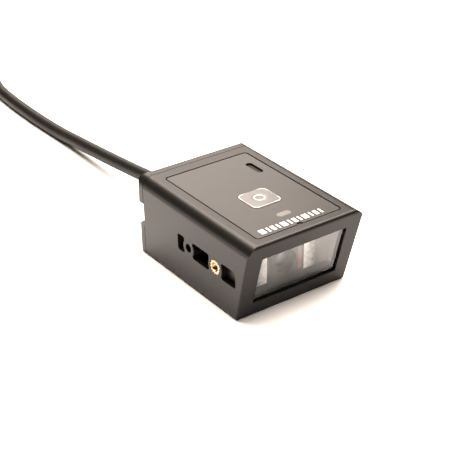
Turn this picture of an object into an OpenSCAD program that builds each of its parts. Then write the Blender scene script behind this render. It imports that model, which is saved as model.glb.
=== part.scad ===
// Fixed barcode reader: a small black case with a leaning scan window at the front,
// a read key on the top, threaded inserts in both sides and a cable at the rear.
// Millimetres, +Z up, the window faces -Y, the origin is under the middle of the case.

/* [Case] */
// Width of the case at its foot
case_w = 38.2; // [36:0.1:44]
// How far each side leans out from the foot to the top
side_draft = 0.6; // [0.2:0.1:0.8]
// Overall depth, from the front top edge to the rear face
case_d = 53.6; // [52:0.2:60]
// Overall height, without the key
case_h = 25; // [24:0.1:28]
// Lean of the front face from upright, in degrees
face_lean = 14.4; // [10:0.1:16]
// Thickness of the side walls
side_wall = 1.6; // [1.2:0.1:1.8]
// Thickness of the top wall
top_wall = 1.9; // [1.6:0.1:2.2]
// Thickness of the floor
floor_wall = 1.6; // [1.2:0.1:2]
// Thickness of the front wall
front_wall = 3; // [2.4:0.1:3.2]
// Radius of the long top edges
top_edge_r = 3.4; // [2:0.1:4]
// Radius of the front face's top edge
front_edge_r = 1; // [0.5:0.1:1.5]
// Radius of the front face's upright edges
side_edge_r = 0.5; // [0.3:0.1:1.5]
// Radius of the long bottom edges
foot_side_r = 1.2; // [0.5:0.1:1.6]
// Radius of the front face's bottom edge
foot_edge_r = 0.5; // [0.5:0.1:1.6]
// Depth of the mould line on each side, below the top
mould_line_drop = 2.65; // [2.4:0.05:4.5]
// Width and depth of the mould line
mould_line_w = 0.15; // [0.1:0.05:0.3]
// Distance of the mould line's front end behind the rounded upright edge
mould_line_end = 0.5; // [0.4:0.1:1.2]
// Width of the groove at the rear cover's seam
seam_w = 0.2; // [0.1:0.05:0.3]
// Depth of the groove at the rear cover's seam
seam_deep = 0.25; // [0.15:0.05:0.4]

/* [Rear cover] */
// Depth of the rear cover
cover_d = 2.9; // [2.4:0.1:3.6]
// Radius of the cover's upright rear edges
cover_side_r = 1.3; // [1:0.1:2.5]
// Radius of the cover's top and bottom rear edges
cover_edge_r = 1; // [0.5:0.1:1.5]
// Height of the lower end of the side notches
notch_low = 9.4; // [7:0.1:10]
// Height of the upper end of the side notches
notch_high = 16.8; // [14:0.1:17]
// How far the side notches go in
notch_in = 2.6; // [2:0.1:3]
// Screw position in from the case's side
screw_in = 4; // [3.6:0.1:4.6]
// Screw position up from the floor's underside
screw_z = 4; // [3.8:0.1:4.6]
// Radius of the case's screw bosses
screw_boss_r = 2.6; // [2.4:0.1:2.8]
// Radius of the screw shank
screw_r = 0.9; // [0.7:0.1:1.1]
// Radius of the screw head
screw_head_r = 1.8; // [1.5:0.1:2]
// Length of the screw below its head
screw_len = 8; // [6:0.5:9]
// Length of each arm of the screws' cross recess
cross_arm = 0.9; // [0.6:0.1:1.2]
// Width of the cross recess
cross_w = 0.4; // [0.3:0.05:0.5]
// Depth of the cross recess below the cover's face
cross_deep = 0.6; // [0.5:0.1:0.8]
// Distance of the top tongue's ends in from the case's sides
tongue_side = 7; // [6:0.5:9]
// Length of the cover's tongues
tongue_len = 2; // [1.5:0.1:2.5]
// Thickness of the cover's tongues
tongue_t = 1.05; // [0.9:0.05:1.2]
// Gap between the tongues and the case's walls
tongue_gap = 0.15; // [0.1:0.05:0.3]

/* [Label sheet] */
// Distance of the recess in from each side
label_side = 4.55; // [4.3:0.05:6]
// Distance of the recess behind the front top edge
label_front = 3.4; // [3:0.05:4]
// Distance of the recess in front of the rear cover
label_rear = 3.6; // [3:0.1:5]
// Corner radius of the recess
label_r = 1.3; // [0.8:0.1:2]
// Thickness of the sheet
label_t = 0.3; // [0.2:0.05:0.35]
// Depth of the recess
label_sunk = 0.35; // [0.35:0.05:0.5]
// Gap round the sheet
label_gap = 0.25; // [0.1:0.05:0.3]
// Depth of the groove round the sheet, below the recess
label_groove = 0.4; // [0.2:0.05:0.6]
// Radius of the pull notch in the sheet's front edge
pull_r = 1; // [0.8:0.1:1.6]

/* [Read key] */
// Width of the key
key_w = 9.2; // [8:0.1:11]
// Depth of the key, front to back
key_d = 8.5; // [8:0.1:10]
// Corner radius of the key
key_r = 1.5; // [1:0.1:2]
// Distance of the key's middle behind the front top edge
key_back = 21.5; // [20:0.1:24]
// Height of the key above the case
key_rise = 0.35; // [0.2:0.05:0.6]
// Radius of the sphere that dishes the key
key_dish_r = 20; // [16:1:30]
// Depth of the dish
key_dish = 0.2; // [0.1:0.05:0.3]
// Radius of the sphere that domes the key
key_dome_r = 60; // [40:5:80]
// Width of the flange that keeps the key in
flange_lap = 1; // [0.8:0.1:1.2]
// Thickness of the flange
flange_t = 0.7; // [0.6:0.05:0.8]
// Travel of the key
key_travel = 0.35; // [0.2:0.05:0.4]
// Gap round the key in the case and the sheet
key_clear = 0.3; // [0.25:0.05:0.4]

/* [Status light and sound slot] */
// Width of the oval status lens
light_w = 4.4; // [4:0.1:5.5]
// Depth of the oval status lens, front to back
light_d = 2; // [1.6:0.1:2.4]
// Distance of the lens behind the front top edge
light_back = 10.8; // [10:0.1:12]
// Width of the flange round the lens under the top wall
light_flange = 0.8; // [0.6:0.1:1]
// Thickness of that flange
light_flange_t = 0.8; // [0.6:0.1:1]
// Gap between the lens and the status lamp
light_gap = 0.1; // [0.05:0.05:0.3]
// Width of the status lamp
status_lamp_w = 3.2; // [2.4:0.1:3.4]
// Depth of the status lamp, front to back
status_lamp_d = 1.6; // [1.2:0.1:1.8]
// Height of the status lamp
status_lamp_h = 0.9; // [0.7:0.1:1]
// Width of the sound slot
slot_w = 2.15; // [1.8:0.05:2.6]
// Length of the sound slot
slot_len = 7; // [6:0.1:8]
// Sound slot's position in from the right side
slot_side = 8.8; // [8.2:0.1:9.5]
// Distance of the slot's middle behind the front top edge
slot_back = 37.3; // [36:0.1:39]
// Depth of the membrane below the top
membrane_deep = 0.7; // [0.5:0.05:0.8]
// Thickness of the membrane
membrane_t = 0.3; // [0.2:0.05:0.4]
// Width of the ledge that carries the membrane
membrane_ledge = 0.35; // [0.25:0.05:0.45]
// Gap round the membrane
membrane_gap = 0.05; // [0.05:0.01:0.1]

/* [Side fixings] */
// Height of the fixings
fixing_z = 12.6; // [11:0.1:13]
// Distance of the inserts behind the front top edge
insert_back = 15.65; // [15:0.05:17]
// Spacing from the insert to the pin hole
fixing_pitch = 12.5; // [12:0.1:13]
// Outer diameter of the insert
insert_od = 4.6; // [4:0.1:5]
// Length of the insert
insert_len = 4; // [3:0.1:4.2]
// Wall radius of the insert's threaded hole
thread_r = 1.25; // [1.2:0.05:1.3]
// Radius of the boss round the insert
insert_boss_r = 3.05; // [2.9:0.05:3.3]
// Radius of the pin hole
pin_r = 1.3; // [1.2:0.05:1.5]
// Depth of the pin hole
pin_deep = 3.2; // [2.4:0.1:4.2]
// Radius of the boss round the pin hole
pin_boss_r = 2.45; // [2.2:0.05:2.7]
// Height of the side pockets
pocket_h = 5.1; // [4.5:0.05:5.4]
// Height of the pockets' middle above the fixings
pocket_lift = 0.1; // [0:0.05:0.3]
// Corner radius of the side pockets
pocket_r = 0.8; // [0.5:0.1:1]
// Depth of the rear and middle pockets
pocket_deep = 3.6; // [3:0.1:3.8]
// Depth of the front pockets
front_pocket_deep = 1.8; // [1.4:0.1:2]
// Wall behind the pockets
pocket_wall = 0.9; // [0.8:0.1:1]
// Half width of the web at the pin hole
pin_web = 1.9; // [1.7:0.1:2.1]
// Half width of the web at the insert
insert_web = 2.8; // [2.6:0.1:3]
// Length of the rear pocket
rear_pocket_len = 3.25; // [2.8:0.05:3.6]
// Length of the front pocket
front_pocket_len = 6.4; // [6:0.1:6.6]

/* [Window] */
// Distance of the opening in from each side
window_side = 4.65; // [4.5:0.05:6]
// Distance of the opening down the face from the top edge
window_top = 5.05; // [5:0.05:5.5]
// Distance of the opening up the face from the bottom edge
window_foot = 4.7; // [4.2:0.05:6]
// Corner radius of the opening
window_r = 0.5; // [0.3:0.1:1]
// Thickness of the lip in front of the pane
lip_t = 0.6; // [0.5:0.05:0.9]
// Thickness of the pane
pane_t = 1.2; // [0.8:0.1:1.4]
// Overlap of the pane behind the opening
pane_lap = 1.1; // [0.8:0.1:1.2]
// Edge gap of the pane
pane_gap = 0.1; // [0.05:0.05:0.2]
// Thickness of the gasket behind the pane
gasket_t = 0.5; // [0.3:0.1:0.6]

/* [Optics] */
// Gap between the gasket and the sill under the panels
sill_gap = 1.55; // [0.4:0.05:1.8]
// How far the panels stand in front of the sill
panel_lip = 0.4; // [0.2:0.1:0.5]
// Height of the sill under the panels
sill_z = 6.1; // [5.6:0.1:6.8]
// Gap between the chassis block and the main board
block_gap = 1.3; // [1.2:0.1:1.8]
// Width of the chassis block
block_w = 12.9; // [12.4:0.1:13.4]
// Distance of the block's upright groove in from its left edge
block_groove_in = 1; // [0.8:0.1:1.4]
// Width of the block's groove
block_groove_w = 0.2; // [0.15:0.05:0.3]
// Depth of the block's groove
block_groove_deep = 0.4; // [0.3:0.1:0.5]
// Height of the groove's foot above the sill
block_groove_up = 0.4; // [0.2:0.1:0.6]
// Depth of the chassis block
block_d = 12.4; // [12:0.1:13]
// Gap between the chassis base and the screw bosses
base_gap = 0.6; // [0.4:0.1:1]
// Gap between the rear cover's tongues and what stands in front of them
end_gap = 0.6; // [0.4:0.1:1]
// Width of the sill behind the lamp boards
sill_behind = 0.6; // [0.4:0.1:1]
// Thickness of the chassis base
base_t = 1.4; // [1:0.1:1.8]
// Gap between the panels and the front pockets' walls
panel_gap = 0.3; // [0.2:0.1:0.5]
// Thickness of the panels
panel_t = 1; // [0.8:0.1:1.2]
// Gap between the panels' wings and the gasket
wing_gap = 0.3; // [0.2:0.1:0.5]
// Room for the lamps between the panels and the lamp boards
lamp_room = 1.4; // [1.2:0.1:1.8]
// Height of the lens axis
lens_z = 11; // [10.6:0.1:11.2]
// Radius of the lens barrel
barrel_r = 3.3; // [3:0.1:3.4]
// Radial clearance of the barrel in the block
barrel_clear = 0.03; // [0.02:0.01:0.06]
// Length of the lens barrel
barrel_len = 7; // [6:0.1:7.4]
// Radius of the front lens
lens_r = 2.4; // [2:0.1:2.6]
// Length of the front lens's seat in the barrel
lens_seat = 2; // [1.6:0.1:2.4]
// Width of the shoulder behind the front lens
lens_shoulder = 0.5; // [0.4:0.1:0.7]
// Depth of the front lens's crown behind the barrel's end
lens_crown = 0.4; // [0.2:0.1:0.8]
// Radius of the front lens's curve
lens_curve_r = 4.8; // [4.4:0.1:6]
// Radius of the hood in front of the barrel
hood_r = 3.7; // [3.5:0.1:3.8]
// Depth of the hood
hood_d = 1.6; // [1.2:0.1:2]
// Width of the aimer lens
aimer_w = 1.3; // [1:0.1:1.4]
// Aimer lens position out from the middle
aimer_x = 5; // [4.9:0.05:5.1]
// Depth of the aimer lens
aimer_d = 2.4; // [2:0.1:3]
// Distance of the aimer lens above the sill
aimer_low = 0.6; // [0.4:0.1:1]
// Distance of the aimer lens below the block's top
aimer_high = 2; // [1.5:0.1:2.5]
// Depth of the bay for the lamp behind the aimer lens
aimer_room = 1.2; // [1.1:0.1:1.5]
// Height of the aimer lamp
aimer_lamp_h = 1.6; // [1.2:0.1:2]
// Thickness of the aimer lamp
aimer_lamp_t = 0.8; // [0.6:0.1:1]
// Width of the lamps
lamp_w = 3.5; // [3:0.1:4]
// Height of the lamps
lamp_h = 2.8; // [2:0.1:3.2]
// Thickness of the lamps
lamp_t = 0.7; // [0.5:0.1:0.8]
// Edge length of the image sensor
sensor_w = 5; // [4:0.1:5.6]
// Thickness of the image sensor
sensor_t = 0.8; // [0.6:0.1:1]
// Gap round the image sensor in its bay
sensor_gap = 0.4; // [0.3:0.1:0.6]
// Width of the sensor board beyond each side of the block
sensor_board_over = 1.4; // [1:0.1:1.8]
// Radius of the sensor board's screws
sensor_screw_r = 0.54; // [0.5:0.02:0.6]
// Length of these screws in the block
sensor_screw_len = 4; // [3.6:0.1:4.2]
// Room in the block beyond the ends of these screws
sensor_screw_room = 0.4; // [0.2:0.1:0.6]
// Radius of their heads
sensor_head_r = 1.08; // [1:0.02:1.2]
// Thickness of their heads
sensor_head_t = 0.7; // [0.5:0.1:0.8]
// Screw position out from the middle of the sensor board
sensor_screw_x = 4.6; // [4.5:0.05:4.8]
// Screw position down from the top of the block
sensor_screw_down = 1.55; // [1.4:0.05:1.6]

/* [Boards] */
// Thickness of every board
board_t = 1; // [0.8:0.1:1.2]
// Room between the main board and the top wall
board_room = 3.2; // [3:0.1:3.4]
// Gap at the main board's edges
board_gap = 0.4; // [0.2:0.1:0.6]
// Distance of the main board's front edge behind the panels' front
board_front = 0.6; // [0.4:0.1:1]
// Distance of the rails' front ends behind the panels' front
rail_start = 6; // [5:0.5:8]
// Gap between the rails and the rear cover's tongues
rail_gap = 0.4; // [0.2:0.1:0.8]
// Width of the rails under the main board
rail_w = 2.4; // [2:0.1:2.6]
// Height of the rails
rail_h = 1.2; // [1:0.1:1.2]
// Edge length of the key switch
switch_w = 6.2; // [6:0.1:7]
// Height of the key switch
switch_h = 1.4; // [1.2:0.1:1.5]
// Floor of the key switch under its plunger
switch_floor = 0.3; // [0.2:0.05:0.4]
// Radius of the switch plunger
plunger_r = 1.6; // [1.4:0.1:1.8]
// Height of the plunger above the switch that is left when the key is pressed
plunger_spare = 0.15; // [0.1:0.05:0.25]
// Length of the plunger inside the switch at rest
plunger_seat = 0.6; // [0.5:0.05:0.65]
// Radial clearance of the plunger
plunger_clear = 0.05; // [0.03:0.01:0.08]
// Edge length of the sounder
sounder_w = 9; // [8:0.1:9.6]
// Height of the sounder
sounder_h = 2.1; // [1.8:0.1:2.2]
// Corner radius of the sounder
sounder_r = 0.6; // [0.4:0.1:1]
// Radius of the sounder's hole
sounder_hole_r = 0.9; // [0.7:0.1:1.2]
// Depth of the sounder's hole
sounder_hole_deep = 0.6; // [0.4:0.1:0.8]
// Width of the lead header
header_w = 7; // [6:0.1:8]
// Height of the lead header
header_h = 3.4; // [3:0.1:3.6]
// Depth of the lead header, front to back
header_d = 4; // [3.6:0.1:4.4]
// Distance of the header's middle in front of the rear cover's seam
header_in = 7.4; // [7:0.1:8]
// Radius of the leads
lead_r = 0.45; // [0.35:0.05:0.5]
// Spacing of the leads
lead_pitch = 1.1; // [1.05:0.05:1.2]
// Radius of the leads' bend
lead_bend = 1.5; // [1.2:0.1:1.8]

/* [Cable and plug] */
// Diameter of the cable
cable_dia = 4.4; // [4.2:0.1:4.4]
// Height of the cable exit
cable_z = 10; // [9.6:0.1:11]
// Radius of the relief's neck in the cover
neck_r = 3.1; // [2.9:0.1:3.4]
// Radius of the relief's flanges
relief_flange_r = 4.4; // [4:0.1:4.8]
// Thickness of the relief's flanges
relief_flange_t = 1.2; // [1:0.1:1.3]
// Distance of the first rib from the outer flange
rib_set = 0.2; // [0.1:0.05:0.3]
// Number of ribs on the relief
rib_count = 3; // [3:1:3]
// Length of each rib
rib_len = 1.4; // [1.2:0.1:1.4]
// Gap between the ribs
rib_gap = 0.6; // [0.5:0.05:0.6]
// Radius of the first rib at its root
rib_root_r = 3.4; // [3.3:0.05:3.6]
// How much each rib narrows along its length
rib_taper = 0.2; // [0.1:0.05:0.2]
// How much the relief narrows over each gap
rib_drop = 0.1; // [0.05:0.05:0.1]
// Radius of the relief in the first gap
rib_core_r = 2.7; // [2.6:0.05:2.8]
// Length of the relief outside the cover
relief_len = 7; // [7:0.5:7]
// Width of the plug body
plug_w = 15.6; // [15:0.1:16]
// Height of the plug body
plug_h = 8.4; // [8:0.1:8.4]
// Length of the plug body
plug_len = 26; // [24:0.5:28]
// Length of the plug's relief
plug_relief = 10; // [8:0.5:12]
// Radius of the plug body's corners
plug_r = 2.4; // [2:0.1:3]
// Wall of the plug's relief round the cable at its outer end
plug_relief_tip = 0.4; // [0.3:0.1:0.6]
// Wall of the plug's relief round the cable at the plug
plug_relief_root = 1.4; // [1:0.1:1.6]
// Number of grip grooves on each face of the plug body
grip_count = 4; // [3:1:5]
// Spacing of the grip grooves
grip_pitch = 2.4; // [2:0.1:3]
// Width of the grip grooves
grip_w = 1; // [0.6:0.1:1.2]
// Depth of the grip grooves
grip_deep = 0.35; // [0.2:0.05:0.5]
// Distance of the first grip groove from the plug's relief
grip_start = 4; // [3:0.5:6]
// Distance of the grip grooves in from the plug's sides
grip_side = 3; // [2.6:0.1:4]
// Width of the plug shell
shell_w = 12; // [12:0.1:12]
// Height of the plug shell
shell_h = 4.5; // [4.5:0.1:4.5]
// Length of the plug shell
shell_len = 14; // [12:0.5:16]
// Wall of the plug shell
shell_wall = 0.3; // [0.3:0.05:0.35]
// Edge length of the latch openings in the plug shell
latch_w = 2.2; // [2:0.1:2.4]
// Latch opening's position out from the middle of the shell
latch_x = 2.9; // [2.6:0.1:3.2]
// Distance of the latch openings' middle from the shell's mouth
latch_set = 4.6; // [4:0.1:5.2]
// Thickness of the tongue in the shell
plug_tongue_t = 1.9; // [1.7:0.1:2]
// Distance of the tongue's end inside the shell's mouth
plug_tongue_set = 1; // [0.5:0.1:1.5]

/* [Hidden] */
$fn = 96;

hw = case_w / 2;
y_front = -case_d / 2;
y_back = case_d / 2;
y_seam = y_back - cover_d;
ceiling = case_h - top_wall;
inner_w = hw - side_wall;
fix_x = hw + side_draft * fixing_z / case_h;
mould_z = case_h - mould_line_drop - mould_line_w;
mould_x = hw + side_draft * mould_z / case_h - mould_line_w;
side_lean = atan(side_draft / case_h);
over = 1;
bite = 0.2;
screw_x = hw - screw_in;
tongue_half = hw - tongue_side;
tongue_front = y_seam - tongue_len;

label_w = case_w - 2 * label_side;
label_y0 = y_front + label_front;
label_y1 = y_seam - label_rear;
label_mid = (label_y0 + label_y1) / 2;
label_d = label_y1 - label_y0;
label_floor = case_h - label_sunk;
label_top = label_floor + label_t;

key_y = y_front + key_back;
key_top = case_h + key_rise;
flange_top = ceiling - key_clear;
flange_bottom = flange_top - flange_t;

board_top = ceiling - board_room;
board_bottom = board_top - board_t;
board_half = inner_w - board_gap;
switch_top = board_top + switch_h;
plunger_rise = key_travel + plunger_spare;
plunger_top = switch_top + plunger_rise;
plunger_len = plunger_rise + plunger_seat;

light_y = y_front + light_back;
light_foot = board_top + status_lamp_h + light_gap;
slot_x = hw - slot_side;
slot_y = y_front + slot_back;
membrane_z = case_h - membrane_deep - membrane_t;

insert_y = y_front + insert_back;
boss_in = fix_x - insert_len - over;
pin_y = insert_y + fixing_pitch;
pocket_z = fixing_z + pocket_lift;
pad_low = pocket_z - pocket_h / 2 - pocket_wall;
pad_high = pocket_z + pocket_h / 2 + pocket_wall;
pad_x = fix_x - pocket_deep - pocket_wall;
front_pad_x = fix_x - front_pocket_deep - pocket_wall;
pocket_y1 = pin_y + pin_web + rear_pocket_len;
pocket_y0 = insert_y - insert_web - front_pocket_len;

window_w = case_w - 2 * window_side;
window_h = case_h / cos(face_lean) - window_top - window_foot;
window_mid = window_top + window_h / 2;
pane_w = window_w + 2 * pane_lap;
pane_h = window_h + 2 * pane_lap;
pane_deep = lip_t + pane_t;

gasket_drop = window_top + window_h + pane_lap;
sill_y = y_front + gasket_drop * sin(face_lean) + (front_wall + gasket_t) * cos(face_lean) + sill_gap;
panel_y = sill_y - panel_lip;
panel_half = front_pad_x - panel_gap;
block_half = block_w / 2;
block_top = board_bottom - block_gap;
block_back = panel_y + block_d;
base_top = floor_wall + base_t;
base_half = screw_x - screw_boss_r - base_gap;
lamp_board_y = panel_y + panel_t + lamp_room;
lamp_board_half = boss_in - panel_gap;
barrel_y = panel_y + hood_d;
sensor_half = sensor_w / 2 + sensor_gap;
screw_hole_y = block_back - sensor_screw_len - sensor_screw_room;
sensor_screw_z = block_top - sensor_screw_down;
aimer_x0 = aimer_x - aimer_w / 2;
aimer_x1 = aimer_x + aimer_w / 2;
aimer_z0 = sill_z + aimer_low;
aimer_z1 = block_top - aimer_high;
aimer_back = panel_y + aimer_d;

header_y = y_seam - header_in;
leads = [-1.5, -0.5, 0.5, 1.5];
cable_r = cable_dia / 2;
relief_end = y_back + relief_len;

coil_x = -7.5;
coil_y = 200;
coil_in = 14.6;
coil_out = 29.4;
coil_h = 17.6;
tie_t = 0.6;
tie_turn = 13;
coil_lane = coil_out - cable_r;
coil_cut = 6;
entry_room = 11;
tail_room = 2.6;
coil_top = tie_t + coil_h;
tail_z = coil_top - cable_r;
plug_x = -29.4;
plug_y = 162;
plug_z = plug_h / 2;

cable_route = [
    [0, relief_end, cable_z],
    [0, 42, 9.45],
    [0, 50, 8.4],
    [0, 58, 7.35],
    [0, 67, 6.3],
    [0, 77, 5.2],
    [0, 88, 4.1],
    [0, 98, 3.15],
    [-0.1, 107, 2.4],
    [-0.3, 114, cable_r],
    [-0.55, 121, cable_r],
    [-0.6, 129, cable_r],
    [-0.5, 137, cable_r],
    [-0.15, 145, cable_r],
    [0.4, 152, cable_r],
    [1.5, 158, cable_r],
    [3.4, 164, cable_r],
    [6.2, 170, 2.3],
    [9.6, 176, 2.5],
    [13.2, 182, 2.7],
    [16.6, 188, 2.8],
    [coil_x + coil_lane - 0.7, coil_y - coil_cut, tie_t + cable_r]];

tail_route = [
    [coil_x - coil_lane, coil_y - coil_cut, tail_z],
    [-34.7, 189.5, 15.4],
    [-34.6, 184.5, 13.5],
    [-33.9, 179, 10.7],
    [-32.5, 173.5, 7.7],
    [-30.7, 168, 5.3],
    [-29.8, 165, 4.5],
    [plug_x, plug_y, plug_z]];

function face_y(z, deep) = y_front + (case_h - z) * tan(face_lean) + deep / cos(face_lean);

function unit(v) = v / norm(v);

function half_turn(p, a, b) = acos(unit(a - p) * unit(b - p)) / 2;

function corner_ends(p, a, b, r) =
    let (reach = r / tan(half_turn(p, a, b)))
    [p + unit(a - p) * reach, p + unit(b - p) * reach];

function corner_mid(p, a, b, r) =
    p + unit(unit(a - p) + unit(b - p)) * r / sin(half_turn(p, a, b));

// The outline of one rib of the cable relief and of the gap behind it.
function rib(n) =
    let (last = n == rib_count - 1,
        start = relief_flange_t + rib_set + n * (rib_len + rib_gap),
        root_r = rib_root_r - n * (rib_taper + rib_drop),
        core_r = rib_core_r - n * rib_drop,
        end = last ? relief_len : start + rib_len)
    concat([[root_r, start], [root_r - rib_taper, end]],
        last ? [] : [[core_r, end], [core_r, end + rib_gap]]);

// A convex outline whose corners have the radii given.
module soft_polygon(pts, radii) {
    n = len(pts);
    polygon([for (i = [0:n - 1])
        each (radii[i] > 0
            ? corner_ends(pts[i], pts[(i + n - 1) % n], pts[(i + 1) % n], radii[i])
            : [pts[i]])]);
    for (i = [0:n - 1])
        if (radii[i] > 0)
            translate(corner_mid(pts[i], pts[(i + n - 1) % n], pts[(i + 1) % n], radii[i]))
                circle(radii[i]);
}

// A centred rectangle with round corners.
module soft_rect(w, h, r) {
    square([w - 2 * r, h], center = true);
    square([w, h - 2 * r], center = true);
    for (x = [-1, 1], y = [-1, 1])
        translate([x * (w / 2 - r), y * (h / 2 - r)])
            circle(r);
}

// A centred slot with round ends, long along X.
module stadium(len, w) {
    square([len - w, w], center = true);
    for (x = [-1, 1])
        translate([x * (len - w) / 2, 0])
            circle(w / 2);
}

// Draws a Y-Z outline as a solid between two X positions.
module along_x(x0, x1) {
    translate([x0, 0, 0])
        rotate([90, 0, 90])
            linear_extrude(x1 - x0)
                children();
}

// Draws an X-Z outline as a solid between two Y positions.
module along_y(y0, y1) {
    translate([0, y1, 0])
        rotate([90, 0, 0])
            linear_extrude(y1 - y0)
                children();
}

// A round bar along Y.
module bar_y(r, y0, y1) {
    translate([0, y0, 0])
        rotate([-90, 0, 0])
            cylinder(r = r, h = y1 - y0);
}

// A round bar along X.
module bar_x(r, x0, x1) {
    translate([x0, 0, 0])
        rotate([0, 90, 0])
            cylinder(r = r, h = x1 - x0);
}

// A box given by its low and high corners.
module box(low, high) {
    translate(low)
        cube(high - low);
}

// Puts the children on the front face: X across, Y up the face, Z outwards.
module on_face() {
    translate([0, y_front, case_h])
        rotate([90 + face_lean, 0, 0])
            children();
}

// The case's outline seen from the front, drawn in by the distance given.
module section(inset = 0) {
    half = hw - inset;
    wide = half + side_draft;
    foot_r = foot_side_r - inset;
    top_r = top_edge_r - inset;
    soft_polygon([[-half, inset], [half, inset], [wide, case_h - inset], [-wide, case_h - inset]],
        [foot_r, foot_r, top_r, top_r]);
}

// The case's outline seen from the left, open-ended at the rear.
module side_view() {
    soft_polygon([[face_y(0, 0), 0], [y_back + over, 0], [y_back + over, case_h], [y_front, case_h]],
        [foot_edge_r, 0, 0, front_edge_r]);
}

// Space inside the right side and the front face, with their upright edge rounded.
module front_corner() {
    up = unit([side_draft, -case_h * tan(face_lean), case_h]);
    skew = asin(sin(side_lean) * sin(face_lean));
    far = 2 * case_d;
    translate([hw + side_draft, y_front, case_h])
        rotate([face_lean, 0, 0])
            rotate([0, asin(up[0]), 0])
                rotate([0, 0, -skew])
                    translate([0, 0, -2 * case_h])
                        linear_extrude(3 * case_h)
                            soft_polygon(
                                [[0, 0], [0, far], [-far, far], [-far * cos(skew), -far * sin(skew)]],
                                [side_edge_r, 0, 0, 0]);
}

// Space inside the right side and the rear face, with their upright edge rounded.
module rear_corner() {
    far = 2 * case_d;
    translate([hw, y_back, 0])
        rotate([0, side_lean, 0])
            translate([0, 0, -over])
                linear_extrude(2 * case_h)
                    soft_polygon([[0, 0], [-far, 0], [-far, -far], [0, -far]], [cover_side_r, 0, 0, 0]);
}

// One pocket between two Y positions, cut back round the bosses.
module pocket(y0, y1) {
    difference() {
        translate([(y0 + y1) / 2, pocket_z])
            soft_rect(y1 - y0, pocket_h, pocket_r);
        translate([insert_y, fixing_z])
            circle(insert_boss_r);
        translate([pin_y, fixing_z])
            circle(pin_boss_r);
    }
}

// What stands on the inside of one side wall: pocket pads, bosses, rail and screw boss.
module side_inside() {
    box([pad_x, insert_y, pad_low],
        [inner_w + bite, pocket_y1 + pocket_wall, pad_high]);
    box([front_pad_x, pocket_y0 - pocket_wall, pad_low],
        [inner_w + bite, insert_y, pad_high]);
    translate([0, insert_y, fixing_z])
        bar_x(insert_boss_r, boss_in, inner_w + bite);
    box([inner_w - rail_w, panel_y + rail_start, board_bottom - rail_h],
        [inner_w + bite, tongue_front - rail_gap, board_bottom]);
    translate([screw_x, 0, screw_z])
        bar_y(screw_boss_r, y_seam - screw_len - over, y_seam);
}

// What is cut out of one side wall.
module side_cuts() {
    along_x(fix_x - pocket_deep, hw + over)
        pocket(pin_y + pin_web, pocket_y1);
    along_x(fix_x - pocket_deep, hw + over)
        pocket(insert_y + insert_web, pin_y - pin_web);
    along_x(fix_x - front_pocket_deep, hw + over)
        pocket(pocket_y0, insert_y - insert_web);
    translate([0, pin_y, fixing_z])
        bar_x(pin_r, fix_x - pin_deep, hw + over);
    translate([0, insert_y, fixing_z])
        bar_x(insert_od / 2, fix_x - insert_len, hw + over);
    box([mould_x, face_y(mould_z, 0) + side_edge_r + mould_line_end, mould_z],
        [hw + over, y_seam + over, mould_z + mould_line_w]);
    translate([screw_x, 0, screw_z])
        bar_y(screw_r, y_seam - screw_len, y_seam + over);
}

module both_sides() {
    children();
    mirror([1, 0, 0])
        children();
}

// One moulding: top, sides, floor and leaning front, open at the rear.
module case() {
    color("#2b2825")
        difference() {
            union() {
                difference() {
                    intersection() {
                        union() {
                            along_y(y_front - over, y_seam - seam_w)
                                section();
                            along_y(y_seam - 2 * seam_w, y_seam)
                                section(seam_deep);
                        }
                        front_corner();
                        mirror([1, 0, 0])
                            front_corner();
                        along_x(-hw - over, hw + over)
                            side_view();
                    }
                    along_x(-inner_w, inner_w)
                        polygon([[face_y(floor_wall, front_wall), floor_wall], [y_seam + over, floor_wall],
                            [y_seam + over, ceiling], [face_y(ceiling, front_wall), ceiling]]);
                }
                both_sides()
                    side_inside();
            }
            both_sides()
                side_cuts();
            on_face()
                translate([0, -window_mid, -front_wall - over])
                    linear_extrude(front_wall + 2 * over)
                        soft_rect(window_w, window_h, window_r);
            on_face()
                translate([0, -window_mid, -front_wall - over])
                    linear_extrude(front_wall + over - lip_t)
                        soft_rect(pane_w + 2 * pane_gap, pane_h + 2 * pane_gap, window_r);
            translate([0, label_mid, label_floor])
                linear_extrude(label_sunk + over)
                    soft_rect(label_w, label_d, label_r);
            translate([0, label_mid, label_floor - label_groove])
                linear_extrude(label_groove + over)
                    difference() {
                        soft_rect(label_w, label_d, label_r);
                        soft_rect(label_w - 2 * label_gap, label_d - 2 * label_gap, label_r - label_gap);
                    }
            translate([0, key_y, ceiling - over])
                linear_extrude(top_wall + 2 * over)
                    soft_rect(key_w + 2 * key_clear, key_d + 2 * key_clear, key_r + key_clear);
            translate([0, light_y, ceiling - over])
                linear_extrude(top_wall + 2 * over)
                    stadium(light_w, light_d);
            translate([slot_x, slot_y, membrane_z])
                linear_extrude(case_h - membrane_z + over)
                    rotate(90)
                        stadium(slot_len, slot_w);
            translate([slot_x, slot_y, ceiling - over])
                linear_extrude(top_wall + over)
                    rotate(90)
                        stadium(slot_len - 2 * membrane_ledge, slot_w - 2 * membrane_ledge);
        }
}

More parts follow.
